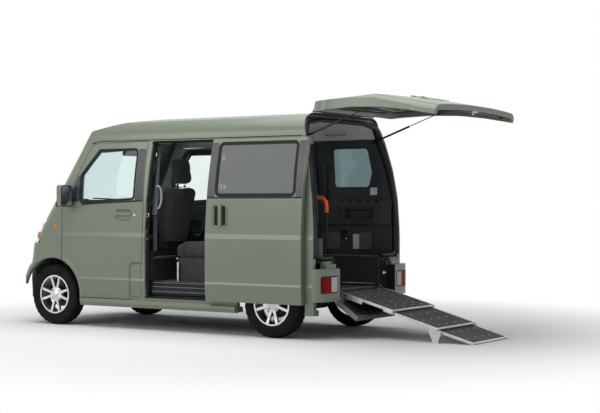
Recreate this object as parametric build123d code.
from build123d import *
from math import asin, atan2, cos, degrees, hypot, radians, sin
import os

# A small high-roof van with a sunk rear floor and a folding ramp for a wheelchair.
# Millimetres. +X is the van's left side, +Y is towards its rear, +Z is up.
# Sizes are written with y = 0 at the front bumper. Every piece is shifted at the end,
# so that the origin lies on the ground, midway between the bumper and the ramp's tip.

# Body shell
HALF_WIDTH = 737.5          # widest line of the doors
SILL_HALF = HALF_WIDTH - 21.5  # at the bottom of the sill
SILL_Z = 200                # underside of the sill
LOWER_CREASE_Z = 448        # crease along the lower doors
UPPER_CREASE_Z = 845        # middle of the stepped band along the doors
WAIST_Z = 1150              # bottom of the side windows
GUTTER_Z = 1690             # top of the sides, where the roof begins
GUTTER_HALF = HALF_WIDTH - 75.5
GUTTER_STEP = 8             # width of the rain gutter's shelf
ROOF_SHOULDER = (GUTTER_HALF - 100, 1852)
ROOF_Z = 1900
CREASE_DEPTH = 4
WALL = 45                   # thickness of doors, sides and roof
GLASS_INSET = 4             # outer face of the glass behind the body's outer face
GLASS_THICK = 5
TRIM_THICK = 12
SHUT_GAP = 5                # gap round doors, lids and panels
SEAT_GAP = 0.3              # between a piece and what it rests on or turns against

# Nose, windscreen, roof and tail, in the side view
BONNET_FRONT_Z = 975
COWL_Y = 236
SCREEN_BASE_Y = 250         # windscreen's foot on the centre line, at the waist
SCREEN_RUN = 350            # how far the windscreen leans back over SCREEN_RISE
SCREEN_RISE = 499
SCREEN_HALF = HALF_WIDTH - 192.5  # half width of the windscreen's opening
SCREEN_TOP_Z = 1645
NOSE_LEAN = 0.16
NOSE_LEAN_Z = 560           # height where the upright bumper meets the leaning nose
TAIL_Y = 3393               # closed tailgate's outer face
TAIL_LEAN = -0.25
TAIL_LEAN_Z = 1420
TAIL_LEAN_Y = 3345
BODY_LIMIT = HALF_WIDTH + 7.5  # half width of the plan outlines, just outside the doors
FLANGE = ((3120, 1852), (3170, 1680), (3230, 1420), (3270, 1150), (3285, 900), (3285, 640))

# Wheels and axles
WHEELBASE = 2430
FRONT_AXLE_Y = 430
REAR_AXLE_Y = FRONT_AXLE_Y + WHEELBASE
TYRE_RADIUS = 278.5
TYRE_WIDTH = 155
BEAD_RADIUS = 178
RIM_WIDTH = 126
RIM_WALL = 8
TRACK_HALF = HALF_WIDTH - 92.5
ARCH_RADIUS = 342
FLARE_OUT = 4               # how far the rims of the arches stand off the doors' widest line
LINER_THICK = 10
HUB_RADIUS = 30
HUB_CLEARANCE = 0.05
HUB_DEPTH = 15              # how far an axle stub enters the wheel
HUB_FACE = 2                # wheel's mounting face, outboard of its middle
STUB_END = TRACK_HALF + HUB_FACE + HUB_DEPTH
SPOKE_PAIRS = 4
KINGPIN_X = TRACK_HALF - 75
ARM_TOP_Z = 192             # top of the front lower arms, where the knuckles stand
FRONT_HOUSE_X = TRACK_HALF - 260  # inner wall of the front wheelhouse
REAR_HOUSE_X = TRACK_HALF - 140

# Floor
FLOOR_THICK = 22
FLOOR_HALF = HALF_WIDTH - 97.5
CENTRE_FLOOR_Z = 425        # behind the front seats
RISER_Z = 690               # top of the engine's cover, under the front seats
REAR_SEAT_Z = 640
RAIL_X = (300, 360)
RAIL_Z = 280
ENGINE_HALF = 270
REAR_FLOOR_Z = 385
WELL_HALF = 400
LEDGE_Z = 648
FLOOR_END_Y = 3272

# Doors
DOOR_FRONT_Y = 548
FRONT_DOOR = ((DOOR_FRONT_Y, 268), (DOOR_FRONT_Y, 1108), (596, 1140), (862, 1640), (880, 1660),
              (1512, 1672), (1490, 596), (1374, 596), (1350, 572), (1346, 268))
FRONT_WINDOW = ((762, 1128), (762, 1376), (962, 1604), (1412, 1604), (1396, 1160), (980, 1140))
HINGE_INSET = 14            # front door's upright hinge line inside the body's widest line
FRONT_HINGE = (HALF_WIDTH - HINGE_INSET, DOOR_FRONT_Y + 35)
DOOR_SWEEP = hypot(FRONT_HINGE[0] - SILL_HALF + WALL, FRONT_HINGE[1] - DOOR_FRONT_Y) + SHUT_GAP
SLIDE_DOOR = ((1532, 290), (1532, 900), (1576, 1668), (2536, 1668), (2505, 900), (2505, 290))
SLIDE_WINDOW = ((1640, 1190), (1660, 1630), (2448, 1630), (2436, 1190))
SLIDE_OPEN_Y = 700          # travel of the open left sliding door
SLIDE_OPEN_X = 57           # how far it stands off the side
ROLLER_Z = (304, 328)       # roller arm on the edge of the floor
QUARTER_WINDOW = ((2600, 1205), (2600, 1640), (3085, 1640), (3130, 1400), (3120, 1205))
WINDOW_RADIUS = 38
FRONT_HANDLE = (1276, 1018)
SLIDE_HANDLE = (1687, 1016)
HANDLE_LENGTH = 176
HANDLE_HEIGHT = 104
HANDLE_DEPTH = 24
MIRROR_X = (HALF_WIDTH + 32.5, HALF_WIDTH + 162.5)

# Tailgate and its gas struts, in (y, z)
TAILGATE_HINGE = (3142, 1893)
TAILGATE_ANGLE = 79.5
TAILGATE_BOTTOM_Z = 648
REAR_WINDOW = ((HALF_WIDTH - 137.5, 1180), (GUTTER_HALF - 117, 1650))
STRUT_X = GUTTER_HALF - 77
STRUT_FOOT = (3100, 1672)
STRUT_EYE = (602, 13)      # from the tailgate's hinge, with the tailgate open
STRUT_TUBE = 385
STRUT_RADIUS = 9
ROD_LENGTH = 375
ROD_RADIUS = 4
ROD_CLEARANCE = 0.2

# Ramp: three trays that slide under each other, measured along the ramp from its pivot
RAMP_PIVOT = (3310, 362)
RAMP_TOP = 20               # deck of the upper tray above the pivot, square to the ramp
RAMP_STEP = 19              # each tray lies this far under the one above
RAMP_DECK = 7
RAMP_RAIL = 12
RAMP_LIP = 7
RAMP_TRAYS = (              # node, start, end, half width
    ("ramp_upper", 14, 530, 365),
    ("ramp_middle", 430, 950, 345),
    ("ramp_lower", 860, 1270, 325),
)
RAMP_TIP_Z = 1
RAMP_PIN_RADIUS = 9
RAMP_PIN_CLEARANCE = 0.1
FOOT_S = 925
FOOT_X = 340

# Rear bumper, flap and lamps
BUMPER_INNER_X = HALF_WIDTH - 267.5
BUMPER_BOTTOM_Z = 316
BUMPER_TOP_Z = 585
BUMPER_REAR_Y = 3395
FLAP_HINGE = (3348, 326)
FLAP_PIN_RADIUS = 5
FLAP_KNUCKLES = (-410, 0, 410)
FLAP_HEIGHT = 250
FLAP_HALF = BUMPER_INNER_X - 8
FLAP_THICK = 38
FLAP_DROP = 33              # degrees under level when the flap hangs open
LAMP_Z = (392, 520)
LAMP_X = (BUMPER_INNER_X + 35, HALF_WIDTH - 22.5)

STEERING = Pos(-350, 893, 977) * Rot(-62, 0, 0)
STEERING_HUB = 26

# Sill moulding's section in (x, z), and the steps beside the rear opening: x, rear y, z
SKIRT = [(HALF_WIDTH - 40, 262), (HALF_WIDTH - 6, 262), (HALF_WIDTH + 6, 246), (HALF_WIDTH + 8, 226),
         (HALF_WIDTH - 4, 196), (HALF_WIDTH - 40, 192)]
REAR_STEPS = (((BUMPER_INNER_X, BUMPER_INNER_X + 150), 3345, (BUMPER_TOP_Z, 618)),
              ((BUMPER_INNER_X + 30, BUMPER_INNER_X + 150), 3318, (618, 642)))

FAR = 3000                  # longer than any piece that it cuts
ACROSS = (-FAR / 2, FAR / 2)
BONNET_HALF = HALF_WIDTH - 222.5
GRILLE_HALF = HALF_WIDTH - 259.5
PARTS = {}


def keep(node, piece):
    PARTS[node] = piece


def block(x_range, y_range, z_range):
    sizes = [high - low for low, high in (x_range, y_range, z_range)]
    middle = [(low + high) / 2 for low, high in (x_range, y_range, z_range)]
    return Pos(*middle) * Box(*sizes)


def outline(points, radius=0):
    if radius:
        return make_face(FilletPolyline(*points, radius=radius, close=True))
    return make_face(Polyline(*points, close=True))


def side_prism(face, x_range):
    """Extrude an outline given in (y, z) across the van."""
    return extrude(Pos(x_range[0], 0, 0) * (Plane.YZ * face), amount=x_range[1] - x_range[0])


def front_prism(face, y_range):
    """Extrude an outline given in (x, z) along the van."""
    return extrude(Pos(0, y_range[0], 0) * (Plane.XZ * face), amount=y_range[0] - y_range[1])


def lean_prism(face, face_z, lean, reach=FAR):
    """Extrude a plan outline, true at face_z, along a direction that leans towards the rear."""
    start = Pos(0, -face_z * lean, 0) * face
    return extrude(start, amount=reach, dir=(0, lean, 1))


def rod_x(radius, x_range, y, z):
    """A round bar across the van."""
    middle = (x_range[0] + x_range[1]) / 2
    return Pos(middle, y, z) * Rot(0, 90, 0) * Cylinder(radius, x_range[1] - x_range[0])


def mirrored(piece):
    return mirror(piece, about=Plane.YZ)


def both(piece):
    return piece + mirrored(piece)


def symmetric(half):
    """A whole plan or section outline from its half at x > 0."""
    return make_face(half.edges()) + mirror(make_face(half.edges()), about=Plane.YZ)


def inset(face, depth):
    return offset(face, amount=-depth) if depth else face


def section(creased):
    """The body's cross-section in (x, z): tumblehome above the waist, crowned roof."""
    step = CREASE_DEPTH if creased else 0
    path = [(0, SILL_Z), (SILL_HALF, SILL_Z)]
    if creased:
        path += [(HALF_WIDTH, LOWER_CREASE_Z - 12), (HALF_WIDTH - step, LOWER_CREASE_Z + 6),
                 (HALF_WIDTH - 1, UPPER_CREASE_Z - 22), (HALF_WIDTH - 2 - step, UPPER_CREASE_Z + 18)]
    else:
        path += [(HALF_WIDTH, LOWER_CREASE_Z)]
    path += [(HALF_WIDTH - 9, WAIST_Z)]
    shelf = (GUTTER_HALF - GUTTER_STEP * bool(creased), GUTTER_Z)
    edges = Polyline(*path)
    edges += ThreePointArc(path[-1], (HALF_WIDTH - 31.5, 1430), (GUTTER_HALF, GUTTER_Z))
    if creased:
        edges += Line((GUTTER_HALF, GUTTER_Z), shelf)
    edges += ThreePointArc(shelf, (GUTTER_HALF - 32, 1785), ROOF_SHOULDER)
    edges += ThreePointArc(ROOF_SHOULDER, (290, 1890), (0, ROOF_Z))
    edges += Line((0, ROOF_Z), (0, SILL_Z))
    return symmetric(edges)


def silhouette():
    """The body's side view in (y, z), in front of and above what the plan outlines cut."""
    edges = Line((-60, SILL_Z), (-60, BONNET_FRONT_Z - 85))
    edges += Line((-60, BONNET_FRONT_Z - 85), (-10, BONNET_FRONT_Z - 85))
    edges += ThreePointArc((-10, BONNET_FRONT_Z - 85), (62, BONNET_FRONT_Z + 25), (180, 1078))
    edges += Line((180, 1078), (COWL_Y, 1112))
    edges += Line((COWL_Y, 1112), (COWL_Y, 1420))
    edges += Line((COWL_Y, 1420), (560, 1600))
    edges += ThreePointArc((560, 1600), (680, 1708), (830, 1780))
    edges += ThreePointArc((830, 1780), (1280, 1868), (1950, ROOF_Z + 1))
    edges += Line((1950, ROOF_Z + 1), (2900, ROOF_Z + 1))
    edges += ThreePointArc((2900, ROOF_Z + 1), (3070, 1897), (3206, 1864))
    edges += ThreePointArc((3206, 1864), (3284, 1700), (3346, 1420))
    edges += ThreePointArc((3346, 1420), (3384, 1080), (TAIL_Y + 1, 650))
    edges += Line((TAIL_Y + 1, 650), (TAIL_Y + 1, SILL_Z))
    edges += Line((TAIL_Y + 1, SILL_Z), (-60, SILL_Z))
    return make_face(edges.edges())


def plan_nose():
    shoulder = BODY_LIMIT - 185
    edges = ThreePointArc((0, 0), (330, 14), (shoulder, 58))
    edges += ThreePointArc((shoulder, 58), (BODY_LIMIT - 63, 122), (BODY_LIMIT, 250))
    edges += Line((BODY_LIMIT, 250), (BODY_LIMIT, 4000))
    edges += Line((BODY_LIMIT, 4000), (0, 4000))
    edges += Line((0, 4000), (0, 0))
    return symmetric(edges)


def plan_screen():
    shoulder = BODY_LIMIT - 185
    edges = ThreePointArc((0, SCREEN_BASE_Y), (300, 274), (shoulder, 348))
    edges += ThreePointArc((shoulder, 348), (BODY_LIMIT - 77, 418), (BODY_LIMIT - 17, 560))
    edges += Line((BODY_LIMIT - 17, 560), (BODY_LIMIT + 5, 900))
    edges += Line((BODY_LIMIT + 5, 900), (BODY_LIMIT + 5, 4200))
    edges += Line((BODY_LIMIT + 5, 4200), (0, 4200))
    edges += Line((0, 4200), (0, SCREEN_BASE_Y))
    return symmetric(edges)


def plan_tail(rear_y):
    shoulder = BODY_LIMIT - 85
    edges = ThreePointArc((0, rear_y), (340, rear_y - 5), (shoulder, rear_y - 22))
    edges += ThreePointArc((shoulder, rear_y - 22), (BODY_LIMIT - 22, rear_y - 50),
                           (BODY_LIMIT + 2, rear_y - 104))
    edges += Line((BODY_LIMIT + 2, rear_y - 104), (BODY_LIMIT + 2, -900))
    edges += Line((BODY_LIMIT + 2, -900), (0, -900))
    edges += Line((0, -900), (0, rear_y))
    return symmetric(edges)


def body_form(depth, creased=False):
    """The body as a closed form, its faces set in by depth."""
    form = front_prism(inset(section(creased), depth), (-200, 4000))
    form &= side_prism(inset(silhouette(), depth), (-FAR, FAR))
    ends = (                # plan outline, height where it is true, lean, way in from that end
        (plan_nose(), 0, 0, 1),
        (plan_nose(), NOSE_LEAN_Z, NOSE_LEAN, 1),
        (plan_screen(), WAIST_Z, SCREEN_RUN / SCREEN_RISE, 1),
        (plan_tail(TAIL_Y), 0, 0, -1),
        (plan_tail(TAIL_LEAN_Y), TAIL_LEAN_Z, TAIL_LEAN, -1),
    )
    for plan, plan_z, lean, way_in in ends:
        form &= Pos(0, way_in * depth * hypot(1, lean), 0) * lean_prism(plan, plan_z, lean)
    return form


def flares():
    """The low rims pressed out round the wheel arches."""
    length = FLARE_OUT + 30
    ring = Cone(ARCH_RADIUS + 66, ARCH_RADIUS + 26, length)
    place = Pos(HALF_WIDTH + FLARE_OUT - length / 2, FRONT_AXLE_Y, TYRE_RADIUS) * Rot(0, 90, 0)
    flare = place * ring & block(ACROSS, (100, FAR), (SILL_Z + 20, WAIST_Z))
    rear = Pos(0, WHEELBASE, 0) * place * ring & block(ACROSS, (0, FLANGE[-1][0]), (ROLLER_Z[1] + 80, WAIST_Z))
    return both(flare + rear)


OUTER = body_form(0, creased=True)
GLASS_OUTER = body_form(GLASS_INSET)
GLASS_INNER = body_form(GLASS_INSET + GLASS_THICK)
INNER = body_form(WALL)
TRIM_INNER = body_form(WALL + TRIM_THICK)
SHELL = OUTER - INNER
FLARES = flares() - INNER
GLASS = GLASS_OUTER - GLASS_INNER
LINING = INNER - TRIM_INNER


def left(points, radius=0, grow=0):
    """A prism over the left half of the van from an outline in (y, z)."""
    face = outline(points, radius)
    if grow:
        face = offset(face, amount=grow)
    return side_prism(face, (FLOOR_HALF - 150, FAR / 2))


def arches(radius):
    cuts = rod_x(radius, (FRONT_HOUSE_X, FAR / 2), FRONT_AXLE_Y, TYRE_RADIUS)
    return cuts + rod_x(radius, (REAR_HOUSE_X, FAR / 2), REAR_AXLE_Y, TYRE_RADIUS)


def behind_flange(setback):
    """Everything behind the rear opening's flange, in the side view."""
    line = [(y + setback, z) for y, z in FLANGE]
    above = [(line[0][0] - 30, 2100), (4000, 2100)]
    return side_prism(outline([*reversed(line), *above, (4000, FLANGE[-1][1])]), (-FAR, FAR))


SCREEN_OUTLINE = outline([(-SCREEN_HALF, WAIST_Z - 8), (SCREEN_HALF, WAIST_Z - 8),
                          (SCREEN_HALF - 12, SCREEN_TOP_Z), (12 - SCREEN_HALF, SCREEN_TOP_Z)], 60)
SCREEN_ZONE = front_prism(SCREEN_OUTLINE, (-100, 1050))
NOSE_ZONE = block(ACROSS, (-100, DOOR_FRONT_Y - SHUT_GAP), (0, WAIST_Z - 20))
HEAD_LAMP_ZONE = front_prism(
    outline([(HALF_WIDTH - 189.5, 752), (BODY_LIMIT + 15, 748), (BODY_LIMIT + 15, 1036),
             (HALF_WIDTH - 177.5, 1024)], 26), (-100, 262))
HEADER = block((-SCREEN_HALF, SCREEN_HALF), (-100, 1050), (SCREEN_TOP_Z - 40, GUTTER_Z + 1))


def body_side():
    side = SHELL & block((0, FAR / 2), (0, 3500), (SILL_Z - 1, GUTTER_Z))
    side += FLARES & block((0, FAR / 2), (DOOR_FRONT_Y, FAR), (SILL_Z + 47, GUTTER_Z))
    side -= NOSE_ZONE + SCREEN_ZONE + HEADER
    side -= block((0, FLOOR_HALF), (0, 3500), (0, 420))
    side -= block((0, 560), (0, 3500), (0, WAIST_Z - 20))
    side -= behind_flange(0)
    side -= block((0, FAR / 2), (FLANGE[-1][0], 3600), (0, FLANGE[-1][1] + 1))
    side -= left(FRONT_DOOR, grow=SHUT_GAP) + left(SLIDE_DOOR, grow=SHUT_GAP)
    side -= left(QUARTER_WINDOW, WINDOW_RADIUS)
    side -= arches(ARCH_RADIUS)
    side -= Pos(*FRONT_HINGE, WAIST_Z - 25) * Cylinder(FRONT_HINGE[1] - DOOR_FRONT_Y + SHUT_GAP, 50)
    skirt = front_prism(outline(SKIRT), (FRONT_AXLE_Y + ARCH_RADIUS + 4, 2512))
    stud = rod_x(5, (STRUT_X + STRUT_RADIUS + 2 + SEAT_GAP, STRUT_X + WALL), *STRUT_FOOT)
    return side + skirt + stud


def add_body():
    side = body_side()
    keep("body_side_left", side)
    keep("body_side_right", mirrored(side))
    roof = SHELL & block(ACROSS, (0, 3600), (GUTTER_Z, 2000))
    roof += (SHELL & HEADER) - SCREEN_ZONE
    keep("roof_panel", roof - behind_flange(0) - SCREEN_ZONE)
    nose = (SHELL & NOSE_ZONE) + (FLARES & NOSE_ZONE)
    nose -= block(ACROSS, (-100, 900), (0, NOSE_LEAN_Z + SHUT_GAP))
    nose += side_fender()
    bonnet_zone = block((-BONNET_HALF, BONNET_HALF), (-100, COWL_Y + 60), (BONNET_FRONT_Z, WAIST_Z))
    nose -= bonnet_zone + both(HEAD_LAMP_ZONE) + both(arches(ARCH_RADIUS)) + grille_zone(0)
    keep("nose_panel", nose)
    bonnet = SHELL & block((SHUT_GAP - BONNET_HALF, BONNET_HALF - SHUT_GAP), (-100, COWL_Y + 60),
                           (BONNET_FRONT_Z + SHUT_GAP, WAIST_Z - 20))
    keep("bonnet", bonnet)
    bumper_zone = block(ACROSS, (-100, 330), (SILL_Z + 46, NOSE_LEAN_Z))
    bumper = (SHELL & bumper_zone) + (FLARES & bumper_zone)
    bumper += (body_form(WALL / 2) - INNER) & block(ACROSS, (-100, 330 + SHUT_GAP),
                                                    (NOSE_LEAN_Z - 60, NOSE_LEAN_Z + SHUT_GAP))
    bumper -= both(arches(ARCH_RADIUS))
    bumper -= front_prism(outline([(-330, 300), (330, 300), (300, 400), (-300, 400)], 24), (-100, 80))
    keep("front_bumper", bumper)
    bars = Part() + [block((-500, 500), (0, 150), (z, z + 12)) for z in (812, 842, 872)]
    bars += [block((x - 6, x + 6), (0, 150), (812, 884)) for x in (-300, 0, 300)]
    keep("grille", bars & (body_form(8) - body_form(26)) & grille_zone(SEAT_GAP))


def grille_zone(margin):
    edge = GRILLE_HALF - margin
    return front_prism(outline([(-edge, 800 + margin), (edge, 800 + margin),
                                (edge - 10, 896 - margin), (10 - edge, 896 - margin)], 14), (-100, 200))


def side_fender():
    """The strip of each side between the bumper and the front door, under the nose."""
    zone = block((FLOOR_HALF - 140, FAR / 2), (330 + SHUT_GAP, DOOR_FRONT_Y - SHUT_GAP), (SILL_Z + 46, NOSE_LEAN_Z + 20))
    return both((SHELL & zone) + (FLARES & zone))


def add_glass():
    keep("windscreen", GLASS & front_prism(
        inset(SCREEN_OUTLINE, SEAT_GAP), (-100, 1050)))
    keep("quarter_glass", both(GLASS & left(QUARTER_WINDOW, WINDOW_RADIUS, grow=-SEAT_GAP)))
    lamp = (body_form(2) - body_form(34)) & HEAD_LAMP_ZONE
    keep("headlamps", both(lamp))


def with_handle(door, middle, upright):
    """A scooped recess in the door's skin with a grip across it."""
    y, z = middle
    length, height = (HANDLE_LENGTH, HANDLE_HEIGHT) if not upright else (HANDLE_HEIGHT + 22, HANDLE_LENGTH)
    scoop = Pos(HALF_WIDTH + 4, y, z) * Box(2 * HANDLE_DEPTH, length, height)
    scoop = fillet(scoop.edges(), HANDLE_DEPTH - 2)
    grip_y, grip_z = (length + 8, 30) if not upright else (36, height + 8)
    grip = Pos(HALF_WIDTH - 6, y, z + (0 if upright else 8)) * Box(16, grip_y, grip_z)
    return door - scoop + fillet(grip.edges(), 7)


def add_front_doors():
    door = (SHELL & left(FRONT_DOOR)) + (FLARES & left(FRONT_DOOR))
    door -= left(FRONT_WINDOW, WINDOW_RADIUS) + arches(ARCH_RADIUS)
    hinge_x, hinge_y = FRONT_HINGE
    corner = block((hinge_x, FAR / 2), (DOOR_FRONT_Y - 20, hinge_y), (SILL_Z, WAIST_Z))
    door -= corner - Pos(hinge_x, hinge_y, WAIST_Z) * Cylinder(hinge_y - DOOR_FRONT_Y, 2 * WAIST_Z)
    door = with_handle(door, FRONT_HANDLE, upright=False)
    glass = GLASS & left(FRONT_WINDOW, WINDOW_RADIUS, grow=-SEAT_GAP)
    mirror_arm = block((HALF_WIDTH - 31.5, MIRROR_X[0] + 30), (640, 668), (1128, 1152))
    shell = fillet(block(MIRROR_X, (622, 690), (1090, 1290)).edges(), 22)
    keep("front_door_left", door)
    keep("front_door_left_glass", glass)
    keep("mirror_left", mirror_arm + shell - door)
    for node in ("front_door_left", "front_door_left_glass", "mirror_left"):
        keep(node.replace("left", "right"), mirrored(PARTS[node]))


def add_sliding_doors():
    door = (SHELL & left(SLIDE_DOOR)) - left(SLIDE_WINDOW, WINDOW_RADIUS)
    door = with_handle(door, SLIDE_HANDLE, upright=True)
    glass = GLASS & left(SLIDE_WINDOW, WINDOW_RADIUS, grow=-SEAT_GAP)
    slide = Pos(SLIDE_OPEN_X, SLIDE_OPEN_Y, 0)
    roller_y = (SLIDE_DOOR[0][0] + 20, SLIDE_DOOR[0][0] + 60)
    sill_x = FLOOR_HALF + SEAT_GAP
    arm_end = SILL_HALF - WALL / 2
    open_arm = block((sill_x - SLIDE_OPEN_X, arm_end), roller_y, ROLLER_Z)
    shut_arm = block((sill_x, arm_end), roller_y, ROLLER_Z)
    keep("sliding_door_left", slide * (door + open_arm))
    keep("sliding_door_left_glass", slide * glass)
    keep("sliding_door_right", mirrored(door + shut_arm))
    keep("sliding_door_right_glass", mirrored(glass))


def opened(piece):
    """Turn a piece that belongs to the tailgate from its closed place to its open one."""
    return piece.rotate(Axis((0, *TAILGATE_HINGE), (1, 0, 0)), TAILGATE_ANGLE)


def turned(point, angle):
    y, z = point
    turn = radians(angle)
    return y * cos(turn) - z * sin(turn), y * sin(turn) + z * cos(turn)


def add_tailgate():
    zone = behind_flange(SHUT_GAP) & block(ACROSS, (3000, 3600), (TAILGATE_BOTTOM_Z, 2100))
    zone -= block(ACROSS, (0, TAILGATE_HINGE[0] + SHUT_GAP), (0, 2100))
    half_low, low_z = REAR_WINDOW[0]
    half_high, high_z = REAR_WINDOW[1]
    corners = [(-half_low, low_z), (half_low, low_z), (half_high, high_z), (-half_high, high_z)]
    gate = (SHELL & zone) - front_prism(outline(corners, 50), (3000, 3600))
    pane = GLASS & front_prism(inset(outline(corners, 50), SEAT_GAP), (3000, 3600))
    eye_y, eye_z = turned(STRUT_EYE, -TAILGATE_ANGLE)
    eye_y += TAILGATE_HINGE[0]
    eye_z += TAILGATE_HINGE[1]
    gate += both(rod_x(6, (STRUT_X + STRUT_RADIUS + SEAT_GAP, HALF_WIDTH - 46), eye_y, eye_z))
    keep("tailgate", opened(gate))
    keep("tailgate_glass", opened(pane))


def add_struts():
    foot_y, foot_z = STRUT_FOOT
    eye_y = TAILGATE_HINGE[0] + STRUT_EYE[0]
    eye_z = TAILGATE_HINGE[1] + STRUT_EYE[1]
    angle = degrees(atan2(eye_z - foot_z, eye_y - foot_y))
    reach = hypot(eye_z - foot_z, eye_y - foot_y)
    along = Pos(STRUT_X, foot_y, foot_z) * Rot(angle, 0, 0) * Rot(-90, 0, 0)
    tube = Pos(0, 0, STRUT_TUBE / 2) * Cylinder(STRUT_RADIUS, STRUT_TUBE)
    tube += Sphere(STRUT_RADIUS + 2)
    tube -= Pos(0, 0, STRUT_TUBE / 2 + 20) * Cylinder(ROD_RADIUS + ROD_CLEARANCE, STRUT_TUBE)
    rod = Pos(0, 0, reach - ROD_LENGTH / 2) * Cylinder(ROD_RADIUS, ROD_LENGTH)
    rod += Pos(0, 0, reach) * Sphere(STRUT_RADIUS)
    keep("strut_cylinder_left", along * tube)
    keep("strut_rod_left", along * rod)
    keep("strut_cylinder_right", mirrored(along * tube))
    keep("strut_rod_right", mirrored(along * rod))


def ramp_slope():
    """The angle at which the lower tray's underside just meets the ground."""
    tray_end = RAMP_TRAYS[-1][2]
    under = RAMP_TOP - RAMP_STEP * 2 - RAMP_DECK
    drop = RAMP_PIVOT[1] + under - RAMP_TIP_Z
    return degrees(asin(drop / tray_end))


def on_ramp(piece):
    """Place a piece drawn with +Y along the ramp and +Z square to it."""
    return Pos(0, *RAMP_PIVOT) * Rot(-ramp_slope(), 0, 0) * piece


def tray(start, end, half, level):
    deck = block((-half, half), (start, end), (level - RAMP_DECK, level))
    rail = block((half - RAMP_RAIL, half), (start, end), (level - RAMP_DECK, level + RAMP_LIP))
    if level < RAMP_TOP:
        pad_top = level + RAMP_STEP - RAMP_DECK - SEAT_GAP
        rail += block((half - RAMP_RAIL, half), (start, start + 60), (level, pad_top))
    return deck + both(rail)


def add_ramp():
    for order, (node, start, end, half) in enumerate(RAMP_TRAYS):
        level = RAMP_TOP - RAMP_STEP * order
        piece = tray(start, end, half, level)
        piece += block((RAMP_RAIL - half, half - RAMP_RAIL), (end - 22, end), (level, level + 3))
        if order == 0:
            piece += both(block((half - 1, half + 2), (0, 236), (RAMP_TOP - 34, level + RAMP_LIP)))
            ear = block((300, 330), (-14, 40), (-14, RAMP_TOP - RAMP_DECK + 2))
            piece += both(ear)
            piece -= rod_x(RAMP_PIN_RADIUS + RAMP_PIN_CLEARANCE, (-400, 400), 0, 0)
        keep(node, on_ramp(piece))
    foot_y = RAMP_PIVOT[0] + FOOT_S * cos(radians(ramp_slope()))
    foot = side_prism(outline([(foot_y - 62, 190), (foot_y + 48, 190), (foot_y + 48, 78),
                               (foot_y + 22, 12), (foot_y - 28, 12), (foot_y - 62, 84)]), (FOOT_X - 8, FOOT_X))
    under = RAMP_TOP - RAMP_STEP - RAMP_DECK
    foot -= on_ramp(block(ACROSS, (0, FAR), (under + 1, FAR)))
    foot += block((FOOT_X - 14, FOOT_X + 8), (foot_y - 34, foot_y + 28), (0, 14))
    PARTS["ramp_middle"] += both(foot)
    mount = rod_x(RAMP_PIN_RADIUS, (10 - WELL_HALF + FLOOR_THICK, WELL_HALF - FLOOR_THICK - 10), *RAMP_PIVOT)
    arm_x = WELL_HALF - FLOOR_THICK
    arm = block((arm_x - 10, arm_x), (FLOOR_END_Y - 90, RAMP_PIVOT[0] + 14),
                (RAMP_PIVOT[1] - 16, REAR_FLOOR_Z - FLOOR_THICK))
    arm += block((arm_x - 10, arm_x), (FLOOR_END_Y + 4, RAMP_PIVOT[0] + 14),
                 (RAMP_PIVOT[1] - 16, RAMP_PIVOT[1] + 14))
    keep("ramp_mount", mount + both(arm))
    turn = Pos(0, *FLAP_HINGE) * Rot(-FLAP_DROP, 0, 0)
    flap = block((-FLAP_HALF, FLAP_HALF), (FLAP_PIN_RADIUS + 6, FLAP_HEIGHT), (-4 - FLAP_THICK, -4))
    for knuckle_x in FLAP_KNUCKLES:
        barrel = rod_x(FLAP_PIN_RADIUS + 5, (knuckle_x - 35, knuckle_x + 35), 0, 0)
        flap += barrel + block((knuckle_x - 35, knuckle_x + 35), (0, 30), (-14, -6))
    flap -= rod_x(FLAP_PIN_RADIUS + RAMP_PIN_CLEARANCE, (-900, 900), 0, 0)
    keep("bumper_flap", turn * flap)


def add_rear_bumper():
    solid = lean_prism(plan_tail(BUMPER_REAR_Y), 0, 0) & block(
        (BUMPER_INNER_X, HALF_WIDTH + 4.5), (FLANGE[-1][0], 3500), (BUMPER_BOTTOM_Z, BUMPER_TOP_Z))
    lamp_zone = block(LAMP_X, (FLANGE[-1][0] + 50, 3500), LAMP_Z)
    pin = rod_x(FLAP_PIN_RADIUS, (-BUMPER_INNER_X - 5, BUMPER_INNER_X + 5), *FLAP_HINGE)
    corner = solid - lamp_zone
    for x_range, rear_y, z_range in REAR_STEPS:
        corner += block(x_range, (FLANGE[-1][0], rear_y), z_range)
    keep("rear_bumper", both(corner) + pin)
    keep("tail_lamps", both(solid & block((LAMP_X[0] + 1, LAMP_X[1] - 1), (FLANGE[-1][0] + 50, 3500),
                                          (LAMP_Z[0] + 1, LAMP_Z[1] - 1))))


def strip(points, thick):
    """A sheet of even thickness under a line of (y, z) points, with mitred corners."""
    lower = []
    for before, here, after in zip(points[:1] + points, points, points[1:] + points[-1:]):
        turns = []
        for start, end in ((before, here), (here, after)):
            length = hypot(end[0] - start[0], end[1] - start[1])
            if length:
                turns.append(((end[1] - start[1]) / length, (start[0] - end[0]) / length))
        across = [sum(part) / len(turns) for part in zip(*turns)]
        scale = thick / (across[0] ** 2 + across[1] ** 2)
        lower.append((here[0] + across[0] * scale, here[1] + across[1] * scale))
    return outline([*points, *reversed(lower)])


FLOOR_LINE = [(370, 1050), (610, 985), (660, 640), (820, 515), (1040, 515), (1040, RISER_Z),
              (1500, RISER_Z), (1500, CENTRE_FLOOR_Z), (2050, CENTRE_FLOOR_Z), (2150, REAR_FLOOR_Z), (FLOOR_END_Y, REAR_FLOOR_Z)]


def wheelhouse(axle_y, inner_x):
    liner = rod_x(ARCH_RADIUS + LINER_THICK, (inner_x - LINER_THICK, HALF_WIDTH - WALL - 4), axle_y,
                  TYRE_RADIUS)
    liner -= rod_x(ARCH_RADIUS, (inner_x, FAR / 2), axle_y, TYRE_RADIUS)
    return liner & block((0, FAR / 2), (0, 4000), (TYRE_RADIUS + 45, 900))


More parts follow.
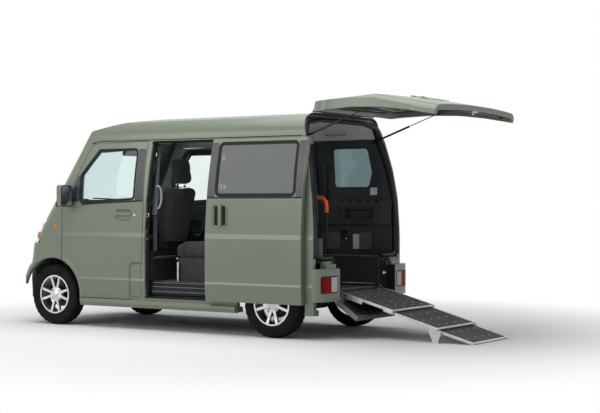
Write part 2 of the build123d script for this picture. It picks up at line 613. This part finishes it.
def add_floor():
    pan = side_prism(strip(FLOOR_LINE, FLOOR_THICK), (-FLOOR_HALF, FLOOR_HALF))
    pan -= both(block((WELL_HALF, FAR / 2), (2450, 4000), (0, LEDGE_Z - 1)))
    pan -= both(rod_x(ARCH_RADIUS, (FRONT_HOUSE_X, FAR / 2), FRONT_AXLE_Y, TYRE_RADIUS))
    ledge = block((WELL_HALF - FLOOR_THICK, FLOOR_HALF + 8), (2450, FLOOR_END_Y), (LEDGE_Z - 20, LEDGE_Z))
    ledge += block((WELL_HALF - FLOOR_THICK, WELL_HALF), (2450, FLOOR_END_Y),
                   (REAR_FLOOR_Z - FLOOR_THICK, LEDGE_Z))
    ledge += block((WELL_HALF - FLOOR_THICK, FLOOR_HALF), (2450 - FLOOR_THICK, 2450),
                   (REAR_FLOOR_Z - FLOOR_THICK, LEDGE_Z))
    sill = block((FLOOR_HALF - 60, FLOOR_HALF), (800, 2420), (SILL_Z + 30, CENTRE_FLOOR_Z))
    rail = block(RAIL_X, (800, 2400), (RAIL_Z, CENTRE_FLOOR_Z - FLOOR_THICK))
    rail += block((ENGINE_HALF, RAIL_X[0]), (1250, 1290), (300, 340))
    tower = block((470, 560), (FRONT_AXLE_Y - 50, FRONT_AXLE_Y + 50), (TYRE_RADIUS + ARCH_RADIUS + 2, 720))
    apron = block((FRONT_HOUSE_X - LINER_THICK, FRONT_HOUSE_X), (260, 585), (430, 980))
    pan += both(ledge + sill + rail)
    houses = wheelhouse(FRONT_AXLE_Y, FRONT_HOUSE_X) + wheelhouse(REAR_AXLE_Y, REAR_HOUSE_X) - ledge
    houses = both(houses + tower + apron) - pan
    houses -= both(Pos(*FRONT_HINGE, WAIST_Z / 2) * Cylinder(DOOR_SWEEP, WAIST_Z))
    keep("floor_pan", pan & INNER)
    keep("wheelhouses", houses & INNER)


def add_running_gear():
    engine = block((-ENGINE_HALF, ENGINE_HALF), (1070, 1470), (250, 640))
    keep("engine_block", fillet(engine.edges(), 20))
    tank = block((30, 280), (1560, 2040), (240, CENTRE_FLOOR_Z - FLOOR_THICK))
    keep("fuel_tank", fillet(tank.edges(), 30))
    tube = rod_x(36, (-560, 560), REAR_AXLE_Y, TYRE_RADIUS)
    tube += rod_x(76, (-110, 30), REAR_AXLE_Y, TYRE_RADIUS)
    drum = rod_x(96, (560, TRACK_HALF + HUB_FACE - SEAT_GAP), REAR_AXLE_Y, TYRE_RADIUS)
    stub = rod_x(HUB_RADIUS, (540, STUB_END), REAR_AXLE_Y, TYRE_RADIUS)
    spring = Pos(452, REAR_AXLE_Y, 470) * Cylinder(32, 316)
    link = block((318, 358), (2400, REAR_AXLE_Y), (TYRE_RADIUS - 24, TYRE_RADIUS + 24))
    keep("rear_axle", tube + both(drum + stub + spring + link))
    arm = block((300, KINGPIN_X + 14), (FRONT_AXLE_Y - 30, FRONT_AXLE_Y + 30),
                (ARM_TOP_Z - 20, ARM_TOP_Z))
    beam = block((-310, 310), (FRONT_AXLE_Y - 40, FRONT_AXLE_Y + 60), (ARM_TOP_Z - 20, 262))
    riser = block((-330, 330), (FRONT_AXLE_Y + 60, 880), (232, RAIL_Z))
    rack = rod_x(18, (-330, 330), FRONT_AXLE_Y + 120, 290)
    keep("front_suspension", beam + riser + rack + both(arm))
    pipe_z = (RAIL_Z - 36, RAIL_Z)
    pipe = block((-490, -452), (1400, 2110), pipe_z) + block((-490, -ENGINE_HALF), (1400, 1438), pipe_z)
    muffler = Pos(-471, 2230, 250) * Rot(90, 0, 0) * Cylinder(64, 260)
    keep("exhaust", pipe + muffler)


def tyre():
    half = TYRE_WIDTH / 2
    flank = RIM_WIDTH / 2
    edges = Line((BEAD_RADIUS, -flank), (BEAD_RADIUS, flank))
    edges += Line((BEAD_RADIUS, flank), (BEAD_RADIUS + 14, flank + 2))
    edges += ThreePointArc((BEAD_RADIUS + 14, flank + 2), (232, half), (264, half - 10))
    edges += Line((264, half - 10), (TYRE_RADIUS, half - 22))
    edges += Line((TYRE_RADIUS, half - 22), (TYRE_RADIUS, 22 - half))
    edges += Line((TYRE_RADIUS, 22 - half), (264, 10 - half))
    edges += ThreePointArc((264, 10 - half), (232, -half), (BEAD_RADIUS + 14, -flank - 2))
    edges += Line((BEAD_RADIUS + 14, -flank - 2), (BEAD_RADIUS, -flank))
    return revolve(make_face(edges.edges()), Axis.Y)


def rim():
    """The wheel with its axis on Y and its outer face towards +Y."""
    half = RIM_WIDTH / 2
    barrel = [(BEAD_RADIUS - RIM_WALL, -half), (BEAD_RADIUS, -half), (BEAD_RADIUS, half),
              (BEAD_RADIUS - RIM_WALL - 6, half), (BEAD_RADIUS - RIM_WALL - 4, half - 20),
              (BEAD_RADIUS - RIM_WALL, half - 26)]
    hub = [(0, HUB_FACE), (62, HUB_FACE), (70, 20), (66, 44), (28, 52), (0, 52)]
    wheel = revolve(outline(barrel), Axis.Y) + revolve(outline(hub), Axis.Y)
    spoke_side = outline([(48, 20), (48, 46), (120, 50), (172, 56), (172, 32), (120, 26)])
    spoke = extrude(spoke_side, amount=11, both=True)
    for pair in range(SPOKE_PAIRS):
        for lean in (-17, 17):
            wheel += Rot(0, pair * 360 / SPOKE_PAIRS + lean, 0) * spoke
    bore = Cylinder(HUB_RADIUS + HUB_CLEARANCE, 2 * (HUB_FACE + HUB_DEPTH + 1))
    wheel -= Rot(90, 0, 0) * bore
    return wheel


def add_wheels():
    tyre_piece = tyre()
    rim_piece = rim()
    for end, axle_y in (("front", FRONT_AXLE_Y), ("rear", REAR_AXLE_Y)):
        place = Pos(TRACK_HALF, axle_y, TYRE_RADIUS) * Rot(0, 0, -90)
        for kind, piece in (("tyre", tyre_piece), ("rim", rim_piece)):
            keep(f"{kind}_{end}_left", place * piece)
            keep(f"{kind}_{end}_right", mirrored(place * piece))
    stub = rod_x(HUB_RADIUS, (TRACK_HALF - 80, STUB_END), FRONT_AXLE_Y, TYRE_RADIUS)
    disc = rod_x(112, (TRACK_HALF - 30, TRACK_HALF - 18), FRONT_AXLE_Y, TYRE_RADIUS)
    disc += rod_x(70, (TRACK_HALF - 30, TRACK_HALF + HUB_FACE - SEAT_GAP), FRONT_AXLE_Y, TYRE_RADIUS)
    upright = block((KINGPIN_X - 20, TRACK_HALF - 40), (FRONT_AXLE_Y - 32, FRONT_AXLE_Y + 32),
                    (ARM_TOP_Z + SEAT_GAP, 400))
    strut = Pos(KINGPIN_X - 42, FRONT_AXLE_Y, 460) * Cylinder(24, 300)
    clamp = block((KINGPIN_X - 50, KINGPIN_X), (FRONT_AXLE_Y - 20, FRONT_AXLE_Y + 20), (330, 390))
    knuckle = stub + disc + upright + strut + clamp
    keep("knuckle_left", knuckle)
    keep("knuckle_right", mirrored(knuckle))


def seat(middle_x, front_y, base_z, width):
    cushion = block((-width / 2, width / 2), (0, 470), (0, 125))
    back = Rot(-14, 0, 0) * block((-width / 2 + 10, width / 2 - 10), (-115, 0), (60, 590))
    back = Pos(0, 500, 0) * back
    rest = Pos(0, 560, 0) * Rot(-14, 0, 0) * block((-125, 125), (-100, 0), (596, 800))
    piece = fillet(cushion.edges(), 34) + fillet(back.edges(), 34)
    neck = Pos(0, 560, 0) * Rot(-14, 0, 0) * block((-60, 60), (-72, -50), (560, 620))
    piece += fillet(rest.edges(), 30) + neck
    return Pos(middle_x, front_y, base_z) * piece


def add_cabin():
    keep("front_seats", both(seat(350, 1045, RISER_Z + SEAT_GAP, 470)))
    keep("rear_seats", both(seat(330, 1690, REAR_SEAT_Z + SEAT_GAP, 440)))
    stand = block((150, 510), (1720, 2080), (CENTRE_FLOOR_Z, REAR_SEAT_Z))
    keep("rear_seat_stand", both(stand))
    dash = outline([(380, 1072), (690, 1060), (770, 980), (800, 840), (720, 760), (668, 780),
                    (640, 985), (610, 1000), (380, 1056)])
    dashboard = side_prism(dash, (-630, 630)) & body_form(WALL + 1)
    column = STEERING * Pos(0, 0, -STEERING_HUB / 2 - SEAT_GAP - 85) * Cylinder(26, 170)
    keep("dashboard", dashboard + column)
    ring = Torus(180, 14) + Cylinder(42, STEERING_HUB)
    for turn in (0, 120, 240):
        ring += Rot(0, 0, turn + 90) * Pos(105, 0, 0) * Box(160, 26, 12)
    keep("steering_wheel", STEERING * ring)
    lining = LINING & block((0, FAR / 2), (2560, 3030), (LEDGE_Z + 1, GUTTER_Z - 20))
    lining -= left(QUARTER_WINDOW, WINDOW_RADIUS) + block((0, 560), (0, 4000), (0, 1600))
    keep("trim_left", lining)
    keep("trim_right", mirrored(lining))
    keep("headliner", LINING & block((-560, 560), (1000, 3050), (GUTTER_Z, 2000)))
    bar = Pos(560, 3060, 1060) * Cylinder(14, 330)
    bar += block((560, 740), (3046, 3074), (905, 925)) + block((560, 740), (3046, 3074), (1195, 1215))
    keep("grab_bar", bar & INNER)
    blades = outline([(-440, 1152), (-20, 1166), (-20, 1178), (-440, 1164)])
    blades += outline([(40, 1152), (460, 1172), (460, 1184), (40, 1164)])
    layer = body_form(-8) - body_form(GLASS_INSET - SEAT_GAP)
    keep("wipers", layer & front_prism(blades, (-100, 700)))


def main():
    for step in (add_body, add_glass, add_front_doors, add_sliding_doors, add_tailgate, add_struts,
                 add_ramp, add_rear_bumper, add_floor, add_running_gear, add_wheels, add_cabin):
        step()
    slope = radians(ramp_slope())
    tip_y = RAMP_PIVOT[0] + RAMP_TRAYS[-1][2] * cos(slope)
    os.makedirs("parts", exist_ok=True)
    for node, piece in PARTS.items():
        export_step(Pos(0, -tip_y / 2, 0) * piece, f"parts/{node}.step")
    print(len(PARTS), "nodes, ramp slope", round(ramp_slope(), 2), "half length", round(tip_y / 2, 2))


main()
